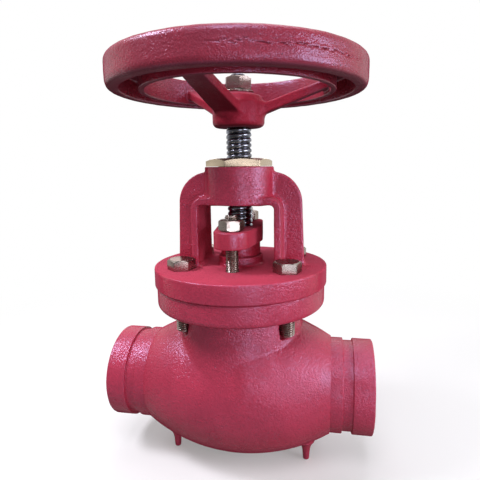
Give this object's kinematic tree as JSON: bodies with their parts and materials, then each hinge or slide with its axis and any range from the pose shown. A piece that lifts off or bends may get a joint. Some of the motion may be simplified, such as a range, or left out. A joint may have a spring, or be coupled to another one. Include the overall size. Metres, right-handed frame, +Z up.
{
  "type": "globe valve",
  "caption": "Cast globe valve with grooved pipe ends, a bolted bonnet with an outside yoke, and a rising handwheel that screws the disc off its seat.",
  "frame": {"origin": "on the floor under the stem, in the middle of the footprint", "axes": "+X along the pipe from inlet to outlet, +Z up the stem, +Y to the back of the valve"},
  "size_m": [0.216, 0.1948, 0.3176],
  "materials": {
    "body_paint": "crimson enamel over a rough casting, satin",
    "bonnet_paint": "crimson enamel over a rough casting, satin",
    "gland_paint": "crimson enamel, satin",
    "wheel_paint": "crimson enamel over a rough casting, satin",
    "seat_bronze": "machined",
    "bush_brass": "pale yellow, machined",
    "stem_steel": "dark, greased",
    "disc_iron": "machined casting",
    "cover_steel": "machined",
    "facing_rubber": "matt",
    "gasket_sheet": "matt fibre sheet",
    "packing_graphite": "braided graphite",
    "zinc": "zinc plated, yellowish"
  },
  "bodies": {
    "valve": {"body": "body_paint", "seat_ring": "seat_bronze", "bonnet_gasket": "gasket_sheet", "bonnet": "bonnet_paint", "backseat_bush": "seat_bronze", "packing_base_ring": "seat_bronze", "packing_ring_1": "packing_graphite", "packing_ring_2": "packing_graphite", "packing_ring_3": "packing_graphite", "packing_ring_4": "packing_graphite", "gland": "gland_paint", "gland_stud_front": "zinc", "gland_stud_rear": "zinc", "gland_nut_front": "zinc", "gland_nut_rear": "zinc", "bonnet_bolt_right_front": "zinc", "bonnet_bolt_right_rear": "zinc", "bonnet_bolt_left_rear": "zinc", "bonnet_bolt_left_front": "zinc", "yoke_bush": "bush_brass"},
    "closure": {"disc": "disc_iron", "disc_facing": "facing_rubber", "disc_cover": "cover_steel"},
    "spindle": {"stem": "stem_steel", "handwheel": "wheel_paint", "wheel_washer": "zinc", "wheel_nut": "zinc"}
  },
  "joints": [
    {"name": "stem_lift", "type": "slide", "parent": "valve", "child": "closure", "axis": [0, 0, 1], "range_m": [0, 0.018]},
    {"name": "wheel_turn", "type": "hinge", "parent": "closure", "child": "spindle", "pos_m": [0, 0, 0.2707], "axis": [0, 0, 1], "range_deg": [0, 1620]}
  ],
  "couplings": [
    {"joint": "stem_lift", "follows": "wheel_turn", "m_per_rad": 0.00063662}
  ]
}
